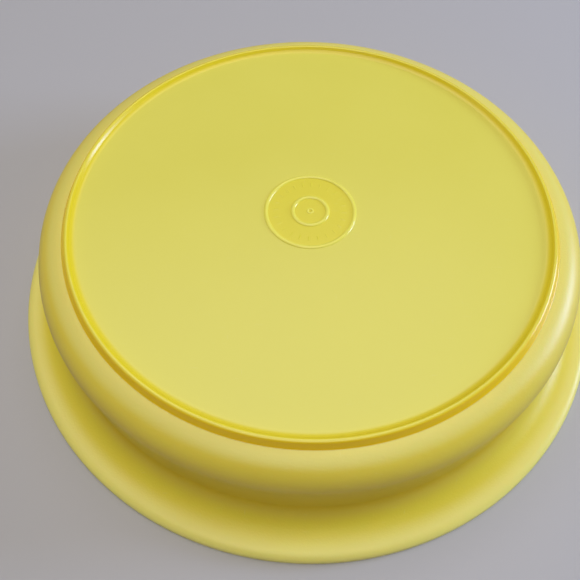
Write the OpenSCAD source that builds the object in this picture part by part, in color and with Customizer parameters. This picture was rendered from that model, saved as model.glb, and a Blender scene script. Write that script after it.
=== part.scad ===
// Wide-rimmed feeding bowl with a suction base, stored upside down: it stands on its rim, and the
// suction base faces up. The origin is the centre of the rim's resting plane, and +Z points from the
// rim towards the suction base. All sizes are in millimetres.

/* [Overall] */
// Outside diameter of the rim
rim_d = 216; // [160:1:260]
// Height from the rim's resting plane to the top of the sealing ring
overall_h = 44.5; // [41:0.5:54]
// Thickness of the shell's wall, flange and floor
wall_t = 2.2; // [1.6:0.1:2.6]

/* [Side wall] */
// Width of the rim beyond the widest part of the side wall
rim_overhang = 13; // [13:0.1:20]
// Outer radius of the round shoulder between the base and the side wall
shoulder_r = 9.7; // [8.5:0.1:10.5]
// Angle by which the wall leans in from the shoulder to the neck
wall_lean = 5; // [0:0.5:8]
// Radius of the concave sweep from the neck to the flange
sweep_r = 9.4; // [8:0.1:10]
// Radius of the corner between the floor and the wall, inside the bowl
inner_corner_r = 6; // [4:0.5:7]

/* [Flange] */
// Height of the flange's upper surface above the resting plane
flange_h = 4.1; // [3.8:0.1:5]
// Radius of the turned-down edge
lip_r = 2.5; // [2:0.1:3]
// Radius that breaks the two edges of the resting face
edge_r = 0.5; // [0.2:0.1:0.7]

/* [Suction base] */
// Thickness of the pad's diaphragm
pad_t = 1.6; // [1.2:0.1:2]
// Air space between the diaphragm and the bowl's floor
air_gap = 2.2; // [1.5:0.1:3]
// Width of the groove for the sealing ring
groove_w = 3.3; // [3:0.1:3.6]
// Height of the sealing ring above the pad
seal_h = 1.65; // [1.4:0.05:2.2]
// Depth of the shoulder's edge below the pad's surface
edge_drop = 1; // [0.5:0.1:1.4]
// Gap between the sealing ring and each side of its groove
seal_gap = 0.15; // [0.1:0.05:0.2]

/* [Mould marks] */
// Radius of the outer raised ring in the middle of the pad
mark_outer_r = 15.3; // [12:0.1:18]
// Radius of the inner raised ring
mark_inner_r = 6; // [4:0.1:8]
// Height of the raised rings
mark_h = 0.25; // [0.1:0.05:0.4]
// Number of plain radial ticks between the two rings
tick_count = 24; // [12:4:36]

/* [Hidden] */
$fn = 180;
// How far a cutting shape runs past what it cuts
past = 1;
// How deep a straight side and a round reach into each other where they would only touch
bite = 0.02;
shell_colour = [0.84, 0.76, 0.36];
pad_colour = [0.86, 0.82, 0.40];
seal_colour = [0.84, 0.68, 0.12];

// Levels, from the top down
pad_z = overall_h - seal_h;
edge_z = pad_z - edge_drop;
diaphragm_z = pad_z - pad_t;
floor_top_z = diaphragm_z - air_gap;
floor_z = floor_top_z - wall_t;
flange_under_z = flange_h - wall_t;

// Radii, from the outside in. The recess's wall meets the shoulder where that is level.
rim_r = rim_d / 2;
shoulder_c = [rim_r - rim_overhang - shoulder_r, edge_z - shoulder_r];
recess_r = shoulder_c[0];
pad_r = recess_r - groove_w;
seal_outer_r = recess_r - seal_gap;
seal_inner_r = pad_r + seal_gap;

// Directions across the leaning wall, outwards, and down along it
across = [cos(wall_lean), -sin(wall_lean)];
along = [-sin(wall_lean), -cos(wall_lean)];

// Point at a distance outwards from the shoulder's centre, followed down the wall to a level
function beside_wall(distance, level) =
    let (start = shoulder_c + distance * across)
    start + along * (start[1] - level) / cos(wall_lean);

// Centre of the sweep, outside the neck, and of the round corner inside the bowl
sweep_c = beside_wall(shoulder_r + sweep_r, flange_h + sweep_r);
corner_c = beside_wall(shoulder_r - wall_t - inner_corner_r, floor_z - inner_corner_r);

// Crown of the sealing ring: a narrow level land between two round edges and two sloping sides
crown_inner_r = 0.5;
crown_outer_r = 0.8;
land_w = 0.4;
crown_inner_c = [seal_inner_r + 0.7, overall_h - crown_inner_r];
crown_outer_c = [crown_inner_c[0] + land_w, overall_h - crown_outer_r];
inner_slope = 22;
outer_slope = 20;
foot_r = 0.5;

// Suction pad: skirt under its turned-up edge, and a hollow stud in the middle. The edge rises to
// the foot of the ring's inner side, which is that far below the crown.
crown_above_edge = 0.9;
skirt_t = 1.6;
rise_r = 2.2;
rise_h = seal_h - crown_above_edge;
rise_w = sqrt(rise_r ^ 2 - (rise_r - rise_h) ^ 2);
stud_r = 5;
stud_bore_r = 3;

// Mould marks: the rings' width, the ticks and the small ring left by the gate
mark_w = 1;
tick_l = 1.8;
tick_w = 0.3;
tick_h = 0.1;
tick_middle_r = mark_inner_r + 0.62 * (mark_outer_r - mark_inner_r);
gate_r = 0.9;
gate_w = 0.5;
gate_h = 0.12;

// Socket on the floor that the stud stands in
socket_r = stud_r + 0.15;
socket_t = 1.8;
socket_h = air_gap - 0.4;

// Half of the bowl's section, filled right through
module outer_section() {
    wall_top = shoulder_c + (shoulder_r - bite) * across;
    neck = sweep_c - (sweep_r - bite) * across;
    square([shoulder_c[0], edge_z]);
    translate(shoulder_c) circle(shoulder_r);
    difference() {
        polygon([[0, 0], [0, wall_top[1]], wall_top, neck, sweep_c, [sweep_c[0], 0]]);
        translate(sweep_c) circle(sweep_r);
    }
    lip_section();
}

// Flange and turned-down lip, filled down to the resting plane
module lip_section() {
    square([rim_r - lip_r, flange_h]);
    square([rim_r - edge_r, flange_h - lip_r]);
    translate([0, edge_r]) square([rim_r, flange_h - lip_r - edge_r]);
    translate([rim_r - edge_r, edge_r]) circle(edge_r);
    intersection() {
        translate([rim_r - lip_r, flange_h - lip_r]) circle(lip_r);
        translate([0, edge_r]) square([rim_r, flange_h]);
    }
}

// Half of the hollow's section: the bowl's inside and the space under its flange
module hollow_section() {
    wall_top = corner_c + (inner_corner_r - bite) * across;
    neck = sweep_c - (sweep_r + wall_t - bite) * across;
    lip_inner_r = rim_r - wall_t;
    translate([0, -past]) square([corner_c[0], floor_z + past]);
    translate(corner_c) circle(inner_corner_r);
    difference() {
        polygon([[0, -past], [0, wall_top[1]], wall_top, neck, sweep_c, [sweep_c[0], -past]]);
        translate(sweep_c) circle(sweep_r + wall_t);
    }
    translate([0, -past]) square([lip_inner_r, flange_under_z + past]);
    difference() {
        translate([0, -past]) square([lip_inner_r + edge_r, edge_r + past]);
        translate([lip_inner_r + edge_r, edge_r]) circle(edge_r);
    }
}

// One-piece bowl with a recess in its base for the pad, and in the recess the stud's socket
module bowl_shell() {
    color(shell_colour) {
        rotate_extrude() difference() {
            outer_section();
            hollow_section();
            translate([0, floor_top_z]) square([recess_r, overall_h]);
        }
        translate([0, 0, floor_top_z - wall_t / 2]) rotate_extrude()
            translate([socket_r, 0]) square([socket_t, socket_h + wall_t / 2]);
    }
}

// Section of a raised ring: the cap of a circle whose lower part lies inside the diaphragm
module mark_section(r, w, h) {
    cap_r = (w ^ 2 / 4 + h ^ 2) / (2 * h);
    intersection() {
        translate([r, pad_z + h - cap_r]) circle(cap_r);
        translate([max(0, r - cap_r), pad_z - pad_t / 2]) square([2 * cap_r, pad_t]);
    }
}

// Diaphragm with its turned-up edge, raised rings, skirt and stud, cut by the stud's bore
module pad_section() {
    difference() {
        union() {
            translate([0, diaphragm_z]) square([pad_r, pad_t]);
            translate([pad_r - rise_w, diaphragm_z]) square([rise_w, pad_t + rise_h]);
            translate([pad_r - skirt_t, floor_top_z]) square([skirt_t, pad_z - floor_top_z]);
            translate([0, floor_top_z]) square([stud_r, pad_z - floor_top_z]);
            for (r = [mark_inner_r, mark_outer_r]) mark_section(r, mark_w, mark_h);
            mark_section(gate_r, gate_w, gate_h);
        }
        translate([0, floor_top_z - past]) square([stud_bore_r, diaphragm_z - floor_top_z + past]);
        translate([pad_r - rise_w, pad_z + rise_r - bite]) circle(rise_r);
    }
}

// Flexible suction pad with plain raised marks in its middle
module suction_pad() {
    color(pad_colour) {
        rotate_extrude() pad_section();
        for (i = [0 : tick_count - 1])
            rotate([0, 0, i * 360 / tick_count])
                translate([tick_middle_r - tick_l / 2, -tick_w / 2, pad_z - pad_t / 2])
                    cube([tick_l, tick_w, pad_t / 2 + tick_h]);
    }
}

// Soft ring: its root stands in the groove, and its crown is what presses on the table in use
module seal_ring() {
    inner_top = crown_inner_c + (crown_inner_r - bite) * [-cos(inner_slope), sin(inner_slope)];
    outwards = [cos(outer_slope), sin(outer_slope)];
    outer_top = crown_outer_c + (crown_outer_r - bite) * outwards;
    inner_foot_z = inner_top[1] - (inner_top[0] - seal_inner_r) / tan(inner_slope);
    foot_reach = foot_r - (seal_outer_r - outer_top[0]) * outwards[0];
    foot_c = [seal_outer_r, outer_top[1] + foot_reach / outwards[1]];
    color(seal_colour) rotate_extrude() {
        difference() {
            polygon([
                [seal_inner_r, floor_top_z],
                [seal_outer_r, floor_top_z],
                foot_c,
                foot_c - (foot_r - bite) * outwards,
                outer_top,
                [crown_outer_c[0], overall_h],
                [crown_inner_c[0], overall_h],
                inner_top,
                [seal_inner_r, inner_foot_z]
            ]);
            translate(foot_c) circle(foot_r);
        }
        translate(crown_inner_c) circle(crown_inner_r);
        translate(crown_outer_c) circle(crown_outer_r);
    }
}

bowl_shell();
suction_pad();
seal_ring();
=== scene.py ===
"""Feeding bowl with a suction base, stored upside down on its rim.

Three turned pieces stand for the CAD solids: the satin shell, the smoother suction pad in its base,
and the glossy sealing ring between them. The pieces' sizes are in millimetres, up to the point
where a mesh or a material is made. Lights, floor and camera are in metres.
"""

import math

import bmesh
import bpy
from mathutils import Matrix, Vector


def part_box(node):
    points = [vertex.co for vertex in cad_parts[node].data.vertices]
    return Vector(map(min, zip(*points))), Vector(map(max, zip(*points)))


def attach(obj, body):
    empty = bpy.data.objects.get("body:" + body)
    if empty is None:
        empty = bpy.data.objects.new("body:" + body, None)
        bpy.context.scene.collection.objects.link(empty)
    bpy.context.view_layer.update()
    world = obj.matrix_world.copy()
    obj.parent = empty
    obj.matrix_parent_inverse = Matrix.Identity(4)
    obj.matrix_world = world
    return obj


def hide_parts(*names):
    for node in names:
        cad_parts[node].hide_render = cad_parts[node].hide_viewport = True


MM = 0.001
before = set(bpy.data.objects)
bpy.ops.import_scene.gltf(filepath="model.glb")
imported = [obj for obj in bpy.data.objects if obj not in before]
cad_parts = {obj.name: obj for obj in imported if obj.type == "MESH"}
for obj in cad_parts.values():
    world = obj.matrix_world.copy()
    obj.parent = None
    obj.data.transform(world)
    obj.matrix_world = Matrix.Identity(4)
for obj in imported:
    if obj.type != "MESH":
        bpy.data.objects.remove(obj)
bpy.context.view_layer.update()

# Sizes that come from the CAD solids, in millimetres
RIM_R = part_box("bowl_shell")[1].x / MM
EDGE_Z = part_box("bowl_shell")[1].z / MM
PAD_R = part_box("suction_pad")[1].x / MM
FLOOR_TOP_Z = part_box("suction_pad")[0].z / MM
RING_TOP_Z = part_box("seal_ring")[1].z / MM
CAD_RING_GAP = 0.15
RECESS_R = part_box("seal_ring")[1].x / MM + CAD_RING_GAP

# Shell, in millimetres and degrees. The lip is a quarter of an ellipse, LIP_W wide and LIP_R high.
WALL_T = 2.2
SHOULDER_R = 9.7
LEAN = 5
SWEEP_R = 9.4
CORNER_R = 6
FLANGE_Z = 4.1
LIP_R = 2.5
LIP_W = 3.2
EDGE_R = 0.5
FLOOR_Z = FLOOR_TOP_Z - WALL_T
SOCKET_H = 1.8
SOCKET_RS = (5.15, 6.95)
SOCKET_Z = FLOOR_TOP_Z + SOCKET_H

# Pad, in millimetres. Its edge turns up with RISE_R, to the foot of the ring's inner side.
SEAL_H = 1.65
DIAPHRAGM_T = 1.6
PAD_Z = RING_TOP_Z - SEAL_H
DIAPHRAGM_Z = PAD_Z - DIAPHRAGM_T
SKIRT_T = 1.6
CROWN_ABOVE_EDGE = 0.9
RISE_R = 2.4
RISE_H = RING_TOP_Z - PAD_Z - CROWN_ABOVE_EDGE
STUD_R = 5
BORE_R = 3
TICK_COUNT = 24
TICK_RS = (10.87, 12.67)
TICK_H = 0.12
# Radius, half width and height of each raised ring
OUTER_MARK_R = 15.3
GATE_MARK = (0.9, 0.4, 0.2)
INNER_MARK = (6, 0.75, 0.42)
OUTER_MARK = (OUTER_MARK_R, 0.75, 0.42)

# Sealing ring, in millimetres and degrees. Its flanks end flush against the pad and the shell.
RING_GAP = 0.012
CROWN_INNER_R = 0.5
CROWN_OUTER_R = 1.1
CROWN_INSET = 0.98
LAND_W = 0.12
INNER_SLOPE = 39
OUTER_SLOPE = 27
FOOT_R = 0.28

# Mesh: segments round the axis; the length from which a straight is held flat and the distance of
# the extra points from its ends, in millimetres; and the angle from which an edge stays sharp
SEGMENTS = 288
LONG_STRAIGHT = 1
HOLD = 0.08
SHARP_ANGLE = 25

# Pigments that two pieces share where they meet: the painted shade of the pad's edge, on pad and ring,
# and the painted sheen of the shell's top, on ring and shell
PAD_EDGE_SHADE_TONE = (0.92, 0.74, 0.026)
SHOULDER_TOP_SHEEN_TONE = (0.88, 0.775, 0.165)

# Camera, fitted to the outlines in the photograph: places in metres, roll in degrees, lens in
# millimetres
CAMERA_PLACE = (0, -0.1531, 0.2384)
CAMERA_TARGET = (-0.0053, -0.0325, 0.0429)
CAMERA_ROLL = 0.49
LENS = 44.28

# Floor, in metres
FLOOR_HALF_WIDTH = 1.5


def arc(centre, radius, start, stop, steps):
    """Points of an arc in the plane of (radius, height), from angle start to angle stop."""
    turns = [math.radians(start + (stop - start) * i / steps) for i in range(steps + 1)]
    return [(centre[0] + radius * math.cos(a), centre[1] + radius * math.sin(a)) for a in turns]


def held(outline):
    """Adds a point near both ends of each long straight, so that the shading stays flat between them."""
    points = [outline[0]]
    for start, stop in zip(outline, outline[1:]):
        length = math.dist(start, stop)
        if length > LONG_STRAIGHT:
            for share in (HOLD / length, 1 - HOLD / length):
                points.append(tuple(a + (b - a) * share for a, b in zip(start, stop)))
        points.append(stop)
    return points


def from_point(point, distance, angle):
    """The point at that distance and angle from another one."""
    a = math.radians(angle)
    return point[0] + distance * math.cos(a), point[1] + distance * math.sin(a)


def down_the_wall(distance, level):
    """The point at a distance outwards from the shoulder's centre, followed down the wall."""
    start = from_point(SHOULDER_C, distance, -LEAN)
    drop = start[1] - level
    return start[0] - drop * math.tan(math.radians(LEAN)), level


def no_lift(r, segment):
    """No change of height."""
    return 0


def tick_height(r, segment):
    """Height of the radial ticks on the pad, which stand on evenly spaced segments of the mesh."""
    on_tick = segment % (SEGMENTS // TICK_COUNT) == 0 and TICK_RS[0] < r < TICK_RS[1]
    return TICK_H if on_tick else 0


def lathe(name, outline, closed=False, lift=no_lift):
    """A mesh turned from (radius, height) points. An open outline starts and ends on the axis."""
    outline = held(outline + outline[:1])[:-1] if closed else held(outline)
    bm = bmesh.new()
    rings = []
    for r, z in outline:
        if r < 1e-6:
            rings.append([bm.verts.new((0, 0, z * MM))])
            continue
        ring = []
        for i in range(SEGMENTS):
            a = 2 * math.pi * i / SEGMENTS
            place = Vector((r * math.cos(a), r * math.sin(a), z + lift(r, i)))
            ring.append(bm.verts.new(place * MM))
        rings.append(ring)
    pairs = list(zip(rings, rings[1:]))
    if closed:
        pairs.append((rings[-1], rings[0]))
    for first, second in pairs:
        for i in range(SEGMENTS):
            j = (i + 1) % SEGMENTS
            corners = [first[i % len(first)], first[j % len(first)]]
            corners += [second[j % len(second)], second[i % len(second)]]
            bm.faces.new(list(dict.fromkeys(corners)))
    return mesh_object(name, bm)


def mesh_object(name, bm):
    """Turns a bmesh into a smooth-shaded object whose sharp edges stay sharp."""
    bmesh.ops.recalc_face_normals(bm, faces=bm.faces)
    mesh = bpy.data.meshes.new(name)
    bm.to_mesh(mesh)
    bm.free()
    mesh.shade_smooth()
    mesh.set_sharp_from_angle(angle=math.radians(SHARP_ANGLE))
    obj = bpy.data.objects.new(name, mesh)
    bpy.context.scene.collection.objects.link(obj)
    return obj


# Centres of the shell's rounds, as (radius, height)
SHOULDER_C = (RECESS_R, EDGE_Z - SHOULDER_R)
SWEEP_C = down_the_wall(SHOULDER_R + SWEEP_R, FLANGE_Z + SWEEP_R)
CORNER_C = down_the_wall(SHOULDER_R - WALL_T - CORNER_R, FLOOR_Z - CORNER_R)


def shell_outline():
    """From the middle of the recess, over the shoulder and round the rim, to the bowl's floor."""
    under_z = FLANGE_Z - WALL_T
    lip_inner_r = RIM_R - WALL_T
    edge_turn = 0.05
    start_angle = 90 - math.degrees(math.asin(edge_turn / SHOULDER_R))
    points = [(0, FLOOR_TOP_Z)]
    points += [(SOCKET_RS[0], FLOOR_TOP_Z), (SOCKET_RS[0], SOCKET_Z)]
    points += [(SOCKET_RS[1], SOCKET_Z), (SOCKET_RS[1], FLOOR_TOP_Z)]
    points += [(RECESS_R, FLOOR_TOP_Z)]
    points += arc((RECESS_R + edge_turn, EDGE_Z - edge_turn), edge_turn, 180, 100, 4)
    points += arc(SHOULDER_C, SHOULDER_R, start_angle, -LEAN, 30)
    points += arc(SWEEP_C, SWEEP_R, 180 - LEAN, 270, 26)
    points += [(RIM_R - w, z) for w, z in lip_round()]
    points += arc((RIM_R - EDGE_R, EDGE_R), EDGE_R, 0, -90, 6)
    points += arc((lip_inner_r + EDGE_R, EDGE_R), EDGE_R, -90, -180, 6)
    points += arc((lip_inner_r - EDGE_R, under_z - EDGE_R), EDGE_R, 0, 90, 6)
    points += arc(SWEEP_C, SWEEP_R + WALL_T, 270, 180 - LEAN, 26)
    points += arc(CORNER_C, CORNER_R, -LEAN, 90, 20)
    points += [(0, FLOOR_Z)]
    return points


def lip_round():
    """Quarter of an ellipse from the flange's top to the rim's side, as (inset, height) points."""
    points = arc((0, 0), 1, 90, 0, 20)
    return [(LIP_W - LIP_W * x, FLANGE_Z - LIP_R + LIP_R * y) for x, y in points]


def raised_mark(r, half_w, h):
    """Section of a raised ring on the pad: the cap of a circle."""
    cap_r = (half_w ** 2 + h ** 2) / (2 * h)
    half_turn = math.degrees(math.asin(half_w / cap_r))
    return arc((r, PAD_Z + h - cap_r), cap_r, 90 + half_turn, 90 - half_turn, 10)


def pad_outline():
    """From the middle, over the marks and round the skirt, to the stud's bore."""
    points = [(0, PAD_Z)]
    points += raised_mark(*GATE_MARK)
    points += raised_mark(*INNER_MARK)
    for r in TICK_RS:
        points += [(r - HOLD, PAD_Z), (r + HOLD, PAD_Z)]
    points += raised_mark(*OUTER_MARK)
    rise_turn = math.degrees(math.acos(1 - RISE_H / RISE_R))
    rise_w = RISE_R * math.sin(math.radians(rise_turn))
    points += arc((PAD_R - rise_w, PAD_Z + RISE_R), RISE_R, -90, rise_turn - 90, 12)
    points += [(PAD_R, FLOOR_TOP_Z), (PAD_R - SKIRT_T, FLOOR_TOP_Z)]
    points += [(PAD_R - SKIRT_T, DIAPHRAGM_Z), (STUD_R, DIAPHRAGM_Z)]
    points += [(STUD_R, FLOOR_TOP_Z), (BORE_R, FLOOR_TOP_Z)]
    points += [(BORE_R, DIAPHRAGM_Z), (0, DIAPHRAGM_Z)]
    return points


def ring_outline():
    """Root in the groove, a round foot that meets the shell, and a crown with a narrow land."""
    inner_r = PAD_R + RING_GAP
    outer_r = RECESS_R - RING_GAP
    inner_c = (PAD_R + CROWN_INSET, RING_TOP_Z - CROWN_INNER_R)
    outer_c = (inner_c[0] + LAND_W, RING_TOP_Z - CROWN_OUTER_R)
    crown_out = arc(outer_c, CROWN_OUTER_R, OUTER_SLOPE, 90, 14)
    crown_in = arc(inner_c, CROWN_INNER_R, 90, 180 - INNER_SLOPE, 10)
    slope = math.radians(OUTER_SLOPE)
    foot_reach = FOOT_R - (outer_r - crown_out[0][0]) * math.cos(slope)
    foot_c = (outer_r, crown_out[0][1] + foot_reach / math.sin(slope))
    inner_foot_z = crown_in[-1][1] - (crown_in[-1][0] - inner_r) / math.tan(math.radians(INNER_SLOPE))
    points = [(inner_r, FLOOR_TOP_Z), (outer_r, FLOOR_TOP_Z)]
    points += arc(foot_c, FOOT_R, 270, 180 + OUTER_SLOPE, 8)
    points += crown_out + crown_in
    points += [(inner_r, inner_foot_z)]
    return points


class Look:
    """A plastic's node tree, with short calls that add the nodes it is made of."""

    def __init__(self, name):
        self.material = bpy.data.materials.new(name)
        self.material.use_nodes = True
        self.nodes = self.material.node_tree.nodes
        self.links = self.material.node_tree.links
        self.shader = self.nodes["Principled BSDF"]
        self.place = self.nodes.new("ShaderNodeTexCoord").outputs["Object"]

    def add(self, kind, **inputs):
        """A node of that kind. An input is a number, a tuple or another node's output."""
        node = self.nodes.new(kind)
        for name, value in inputs.items():
            self.feed(node.inputs[name.replace("_", " ")], value)
        return node

    def feed(self, socket, value):
        """Sets a socket, or links it if the value is another node's output."""
        if isinstance(value, bpy.types.NodeSocket):
            self.links.new(value, socket)
        elif isinstance(value, tuple) and len(value) == 3 and socket.type == "RGBA":
            socket.default_value = (*value, 1)
        else:
            socket.default_value = value

    def noise(self, size_mm, detail, stretch=(1, 1, 1)):
        """Cloudy noise whose patches are about that wide."""
        mapping = self.add("ShaderNodeMapping", Vector=self.place, Scale=stretch)
        vector = mapping.outputs["Vector"]
        noise = self.add("ShaderNodeTexNoise", Vector=vector, Scale=1 / (size_mm * MM), Detail=detail)
        return noise.outputs["Fac"]

    def remap(self, value, low, high, to_low, to_high):
        """A value carried from one range to another, and held inside it."""
        node = self.add(
            "ShaderNodeMapRange", Value=value, From_Min=low, From_Max=high, To_Min=to_low, To_Max=to_high
        )
        return node.outputs["Result"]

    def smooth(self, value, start, end):
        """0 up to start, 1 from end on, and a soft change between them. Either may be the larger."""
        node = self.add("ShaderNodeMapRange", Value=value, From_Min=start, From_Max=end)
        node.interpolation_type = "SMOOTHSTEP"
        return node.outputs["Result"]

    def smooth_mm(self, length, start, end):
        """The same for a length, with start and end in millimetres."""
        return self.smooth(length, start * MM, end * MM)

    def maths(self, operation, first, second):
        """Two values put together by a Math node."""
        node = self.nodes.new("ShaderNodeMath")
        node.operation = operation
        self.feed(node.inputs[0], first)
        self.feed(node.inputs[1], second)
        return node.outputs["Value"]

    def product(self, first, second):
        """One value times the other."""
        return self.maths("MULTIPLY", first, second)

    def total(self, first, second):
        """One value plus the other."""
        return self.maths("ADD", first, second)

    def blend(self, factor, first, second):
        """The first colour at factor 0, and the second at factor 1."""
        node = self.nodes.new("ShaderNodeMix")
        node.data_type = "RGBA"
        self.feed(node.inputs["Factor"], factor)
        self.feed(node.inputs["A"], first)
        self.feed(node.inputs["B"], second)
        return node.outputs["Result"]

    def height(self):
        """Height above the resting plane."""
        return self.add("ShaderNodeSeparateXYZ", Vector=self.place).outputs["Z"]

    def radius(self):
        """Distance from the bowl's axis."""
        flat = self.nodes.new("ShaderNodeVectorMath")
        flat.operation = "MULTIPLY"
        self.feed(flat.inputs[0], self.place)
        flat.inputs[1].default_value = (1, 1, 0)
        length = self.nodes.new("ShaderNodeVectorMath")
        length.operation = "LENGTH"
        self.feed(length.inputs[0], flat.outputs["Vector"])
        return length.outputs["Value"]

    def scratches(self, size_mm):
        """Short hairline marks that run two ways: 1 on a mark, and 0 elsewhere."""
        first = self.smooth(self.noise(size_mm, 2, (1, 14, 1)), 0.70, 0.76)
        second = self.smooth(self.noise(size_mm, 2, (11, 1.5, 1)), 0.71, 0.77)
        return self.total(first, second)

    def relief(self, *layers):
        """Bumps the surface with (value, depth in mm) layers."""
        normal = None
        for value, depth_mm in layers:
            bump = self.add("ShaderNodeBump", Height=value, Distance=depth_mm * MM, Strength=1.0)
            if normal is not None:
                self.feed(bump.inputs["Normal"], normal)
            normal = bump.outputs["Normal"]
        self.feed(self.shader.inputs["Normal"], normal)

    def gloss(self, ior=1.51, reflection=0.5):
        """How strongly the surface reflects."""
        self.shader.inputs["IOR"].default_value = ior
        self.shader.inputs["Specular IOR Level"].default_value = reflection

    def depth(self, weight, depth_mm):
        """Light that travels under the surface, furthest in red and least in blue."""
        self.shader.inputs["Subsurface Weight"].default_value = weight
        self.shader.inputs["Subsurface Radius"].default_value = (1.0, 0.5, 0.08)
        self.shader.inputs["Subsurface Scale"].default_value = depth_mm * MM


def satin_plastic():
    """The shell: fine spark-eroded grain, a painted sheen that makes it paler on top and towards the
    rim, painted light on the flange, and a painted shade that makes it richer on the wall.
    """
    look = Look("satin_plastic")
    z = look.height()
    cloud = look.noise(30, 4)
    # Painted shade: the wall between flange and shoulder is darkened to orange-brown, as if in shadow
    painted_shade_on_wall = look.product(look.smooth_mm(z, 5, 13), look.smooth_mm(z, 39.5, 30))
    # Painted light: the flange is brighter, as if more lit
    painted_light_on_flange = look.smooth_mm(z, 10, 4.5)
    # Painted sheen: paler and whiter towards the rim
    painted_sheen_near_rim = look.smooth_mm(look.radius(), RIM_R - 8.5, RIM_R - 3)
    # Painted sheen: paler and whiter on top of the shoulder
    painted_sheen_on_top = look.smooth_mm(z, 39.6, 41.4)
    exposed = look.blend(cloud, (0.86, 0.693, 0.066), (0.90, 0.733, 0.086))
    colour = look.blend(painted_light_on_flange, exposed, (0.92, 0.775, 0.055))
    colour = look.blend(painted_sheen_near_rim, colour, (0.98, 0.880, 0.205))
    colour = look.blend(painted_sheen_on_top, colour, SHOULDER_TOP_SHEEN_TONE)
    # Painted shade on the wall
    colour = look.blend(look.product(painted_shade_on_wall, 0.8), colour, (0.74, 0.51, 0.014))
    scuffs = look.scratches(5)
    colour = look.blend(look.product(scuffs, 0.12), colour, (0.93, 0.88, 0.45))
    look.feed(look.shader.inputs["Base Color"], colour)
    roughness = look.total(look.remap(cloud, 0.3, 0.7, 0.38, 0.44), look.product(scuffs, 0.08))
    look.feed(look.shader.inputs["Roughness"], roughness)
    look.relief((look.noise(0.6, 3), 0.05), (look.noise(2, 2), 0.03), (look.noise(9, 2), 0.02))
    look.gloss(reflection=0.42)
    look.depth(0.1, 0.6)
    return look.material


def smooth_plastic():
    """The pad: smoother and greener than the shell, richer in the middle, with a painted shade at its
    edge and a painted highlight on its raised marks.
    """
    look = Look("smooth_plastic")
    r = look.radius()
    cloud = look.noise(38, 4)
    outside = look.smooth_mm(r, OUTER_MARK_R - 0.5, OUTER_MARK_R)
    plain = look.blend(cloud, (0.85, 0.780, 0.108), (0.89, 0.820, 0.124))
    colour = look.blend(outside, (0.88, 0.77, 0.050), plain)
    # Painted shade: the edge that turns up to the ring is deepened towards orange
    colour = look.blend(look.smooth_mm(r, PAD_R - 2.2, PAD_R - 0.1), colour, PAD_EDGE_SHADE_TONE)
    # Painted highlight: the raised marks and ticks are paler and brighter; they are also less rough
    near_middle = look.smooth_mm(r, OUTER_MARK_R + 3, OUTER_MARK_R + 1)
    raised = look.product(near_middle, look.smooth_mm(look.height(), PAD_Z + 0.03, PAD_Z + 0.18))
    colour = look.blend(raised, colour, (0.97, 0.90, 0.125))
    scuffs = look.scratches(6)
    colour = look.blend(look.product(scuffs, 0.10), colour, (0.94, 0.90, 0.50))
    look.feed(look.shader.inputs["Base Color"], colour)
    roughness = look.total(look.remap(cloud, 0.3, 0.7, 0.28, 0.34), look.product(scuffs, 0.06))
    look.feed(look.shader.inputs["Roughness"], look.total(roughness, look.product(raised, -0.12)))
    look.relief((look.noise(0.7, 3), 0.005), (look.noise(14, 2), 0.02))
    look.gloss()
    return look.material


def soft_elastomer():
    """The ring: glossy, with painted light and shade: pale yellow on its crown as if lit, a painted
    shade deeper on both sides, and the shell's painted sheen at its foot.
    """
    look = Look("soft_elastomer")
    r = look.radius()
    cloud = look.noise(20, 4)
    # Painted light and shade: a pale crown as if lit, and a deep orange flank as if shaded, copies of
    # one yellow
    crown = look.blend(cloud, (0.92, 0.80, 0.070), (0.95, 0.83, 0.085))
    flank = look.blend(cloud, (0.98, 0.64, 0.003), (1.0, 0.67, 0.005))
    # Painted shade: the inner side takes the pad edge's painted shade
    colour = look.blend(look.smooth_mm(r, PAD_R + 0.5, PAD_R + 0.9), PAD_EDGE_SHADE_TONE, crown)
    colour = look.blend(look.smooth_mm(r, PAD_R + 1.2, PAD_R + 2.1), colour, flank)
    # Painted sheen: the foot takes the shell's painted top sheen
    above_shell = look.smooth_mm(look.height(), EDGE_Z - 0.3, EDGE_Z - 0.1)
    foot = look.product(above_shell, look.smooth_mm(r, RECESS_R - 0.25, RECESS_R - 0.02))
    look.feed(look.shader.inputs["Base Color"], look.blend(foot, colour, SHOULDER_TOP_SHEEN_TONE))
    look.feed(look.shader.inputs["Roughness"], look.remap(cloud, 0.3, 0.7, 0.16, 0.21))
    look.relief((look.noise(2.5, 2), 0.006))
    look.gloss(1.48)
    return look.material


def area_light(name, position, target, width, height, power, colour):
    """A rectangular soft light that faces a point."""
    light = bpy.data.lights.new(name, "AREA")
    light.shape = "RECTANGLE"
    light.size = width
    light.size_y = height
    light.energy = power
    light.color = colour
    obj = bpy.data.objects.new(name, light)
    obj.location = position
    obj.rotation_mode = "QUATERNION"
    obj.rotation_quaternion = (Vector(target) - Vector(position)).to_track_quat("-Z", "Y")
    bpy.context.scene.collection.objects.link(obj)


def from_direction(azimuth, elevation, distance):
    """A point seen from the origin in that direction. Azimuth 0 is +X and 90 is +Y."""
    a = math.radians(azimuth)
    e = math.radians(elevation)
    flat = distance * math.cos(e)
    return flat * math.cos(a), flat * math.sin(a), distance * math.sin(e)


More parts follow.
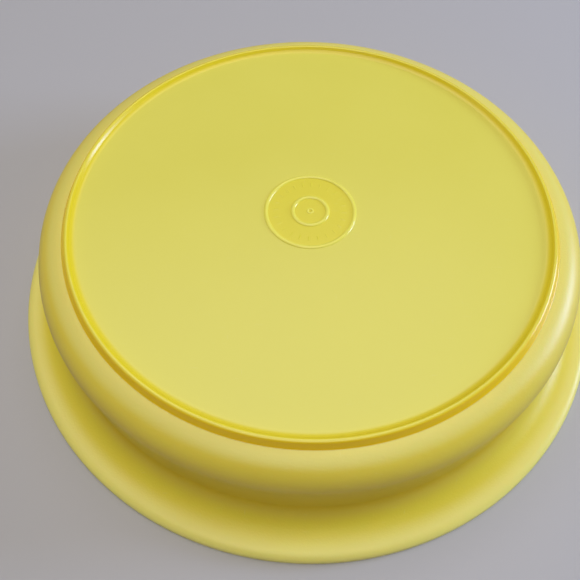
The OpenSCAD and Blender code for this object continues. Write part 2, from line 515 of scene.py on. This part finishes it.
def build_floor():
    """A plain pale floor under the rim."""
    bm = bmesh.new()
    bmesh.ops.create_grid(bm, x_segments=1, y_segments=1, size=FLOOR_HALF_WIDTH)
    floor = mesh_object("floor", bm)
    material = bpy.data.materials.new("floor")
    material.use_nodes = True
    shader = material.node_tree.nodes["Principled BSDF"]
    shader.inputs["Base Color"].default_value = (0.52, 0.51, 0.50, 1)
    shader.inputs["Roughness"].default_value = 0.8
    floor.data.materials.append(material)


def build_camera():
    """The camera looks down on the base from the front."""
    camera = bpy.data.cameras.new("camera")
    camera.sensor_width = 36
    camera.lens = LENS
    camera.clip_start = 0.01
    obj = bpy.data.objects.new("camera", camera)
    obj.location = CAMERA_PLACE
    aim = Vector(CAMERA_TARGET) - obj.location
    obj.rotation_mode = "QUATERNION"
    roll = Matrix.Rotation(math.radians(CAMERA_ROLL), 3, "Z").to_quaternion()
    obj.rotation_quaternion = aim.to_track_quat("-Z", "Y") @ roll
    bpy.context.scene.collection.objects.link(obj)
    bpy.context.scene.camera = obj


def build_lights():
    """A low window on the right, a large light overhead, and weaker ones in front and on the left."""
    middle = (0, 0, 0.03)
    window = from_direction(12, 17, 1.1)
    area_light("window", window, middle, 0.4, 0.25, 8.5, (0.51, 0.63, 1))
    area_light("ceiling", from_direction(100, 80, 1.3), middle, 1.2, 1.2, 8.6, (1, 0.965, 1))
    area_light("front", from_direction(-90, 62, 1.3), middle, 0.8, 0.6, 3, (1, 0.97, 0.96))
    area_light("left", from_direction(180, 45, 1.3), middle, 0.8, 0.8, 0.9, (1, 0.97, 0.96))
    world = bpy.data.worlds.new("room")
    bpy.context.scene.world = world
    world.use_nodes = True
    background = world.node_tree.nodes["Background"]
    background.inputs["Color"].default_value = (1, 0.97, 0.94, 1)
    background.inputs["Strength"].default_value = 0.1


def dress(obj, body, node, material):
    """Gives a piece its material and its place in the frame."""
    obj.data.materials.append(material)
    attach(obj, body)
    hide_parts(node)


shell = lathe("shell", shell_outline())
pad = lathe("pad", pad_outline(), lift=tick_height)
ring = lathe("ring", ring_outline(), closed=True)
dress(shell, "bowl", "bowl_shell", satin_plastic())
dress(pad, "pad", "suction_pad", smooth_plastic())
dress(ring, "ring", "seal_ring", soft_elastomer())

build_floor()
build_camera()
build_lights()
bpy.context.scene.view_settings.view_transform = "Standard"
